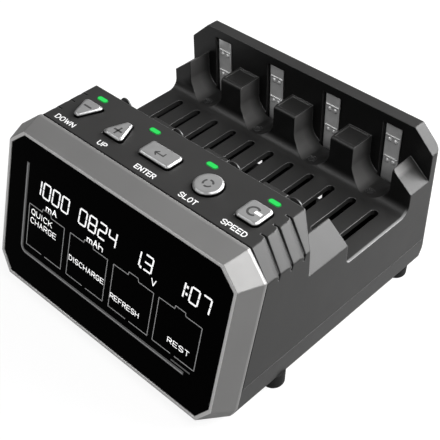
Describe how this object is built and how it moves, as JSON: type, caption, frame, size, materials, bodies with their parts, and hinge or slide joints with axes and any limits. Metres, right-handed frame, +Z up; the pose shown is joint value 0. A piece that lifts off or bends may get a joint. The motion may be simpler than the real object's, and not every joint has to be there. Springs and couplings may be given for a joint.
{
  "type": "battery charger",
  "caption": "Desktop charger for round cells: a low case with open lengthwise bays, sprung contacts, a row of keys and lights on a front hood, and a leaning display face.",
  "frame": {"origin": "centre of the bounding box at table level, under the case", "axes": "+X to the user's right, +Y from the display towards the rear wall, +Z up"},
  "size_m": [0.1032, 0.0995, 0.0585],
  "materials": {
    "case": "fine-textured charcoal ABS",
    "bezel": "silver-grey satin paint on a moulded frame",
    "window": "glossy black tinted acrylic",
    "lcd": "dark liquid-crystal glass",
    "holder": "white moulded light guide",
    "board": "dark green solder mask",
    "chip": "black moulded",
    "emitter": "pale moulded",
    "key": "silver satin lacquer",
    "plunger": "tan nylon",
    "lens": "green translucent acrylic",
    "plated": "nickel-plated spring steel",
    "can": "sleeved aluminium can",
    "foot": "black rubber",
    "screw": "plated steel"
  },
  "bodies": {
    "housing": {"upper_case": "case", "base_shell": "case", "front_bezel": "bezel", "display_window": "window", "lcd_panel": "lcd", "lcd_holder": "holder", "main_board": "board", "key_board": "board", "key_switches": "chip", "light_chips": "emitter", "light_lens_1": "lens", "light_lens_2": "lens", "light_lens_3": "lens", "light_lens_4": "lens", "rear_contact_1": "plated", "rear_contact_2": "plated", "rear_contact_3": "plated", "rear_contact_4": "plated", "probe_1": "plated", "probe_2": "plated", "probe_3": "plated", "probe_4": "plated", "inlet_socket": "chip", "inductors": "chip", "capacitors": "can", "controller_chips": "chip", "foot_front_left": "foot", "foot_front_right": "foot", "foot_rear_left": "foot", "foot_rear_right": "foot", "case_screws": "screw", "board_screws": "screw", "key_board_screws": "screw"},
    "button_down": {"key_down": "key", "plunger_down": "plunger"},
    "button_up": {"key_up": "key", "plunger_up": "plunger"},
    "button_enter": {"key_enter": "key", "plunger_enter": "plunger"},
    "button_slot": {"key_slot": "key", "plunger_slot": "plunger"},
    "button_rate": {"key_rate": "key", "plunger_rate": "plunger"},
    "spring_contact_1": {"front_contact_1": "plated"},
    "spring_contact_2": {"front_contact_2": "plated"},
    "spring_contact_3": {"front_contact_3": "plated"},
    "spring_contact_4": {"front_contact_4": "plated"}
  },
  "joints": [
    {"name": "down_press", "type": "slide", "parent": "housing", "child": "button_down", "axis": [0, 0, -1], "range_m": [0, 0.0005], "stiffness_N_per_m": 800, "springref_m": -0.0004},
    {"name": "up_press", "type": "slide", "parent": "housing", "child": "button_up", "axis": [0, 0, -1], "range_m": [0, 0.0005], "stiffness_N_per_m": 800, "springref_m": -0.0004},
    {"name": "enter_press", "type": "slide", "parent": "housing", "child": "button_enter", "axis": [0, 0, -1], "range_m": [0, 0.0005], "stiffness_N_per_m": 800, "springref_m": -0.0004},
    {"name": "slot_press", "type": "slide", "parent": "housing", "child": "button_slot", "axis": [0, 0, -1], "range_m": [0, 0.0005], "stiffness_N_per_m": 800, "springref_m": -0.0004},
    {"name": "rate_press", "type": "slide", "parent": "housing", "child": "button_rate", "axis": [0, 0, -1], "range_m": [0, 0.0005], "stiffness_N_per_m": 800, "springref_m": -0.0004},
    {"name": "contact_1_flex", "type": "slide", "parent": "housing", "child": "spring_contact_1", "axis": [0, -1, 0], "range_m": [0, 0.0012], "stiffness_N_per_m": 1500, "springref_m": -0.0004},
    {"name": "contact_2_flex", "type": "slide", "parent": "housing", "child": "spring_contact_2", "axis": [0, -1, 0], "range_m": [0, 0.0012], "stiffness_N_per_m": 1500, "springref_m": -0.0004},
    {"name": "contact_3_flex", "type": "slide", "parent": "housing", "child": "spring_contact_3", "axis": [0, -1, 0], "range_m": [0, 0.0012], "stiffness_N_per_m": 1500, "springref_m": -0.0004},
    {"name": "contact_4_flex", "type": "slide", "parent": "housing", "child": "spring_contact_4", "axis": [0, -1, 0], "range_m": [0, 0.0012], "stiffness_N_per_m": 1500, "springref_m": -0.0004}
  ]
}
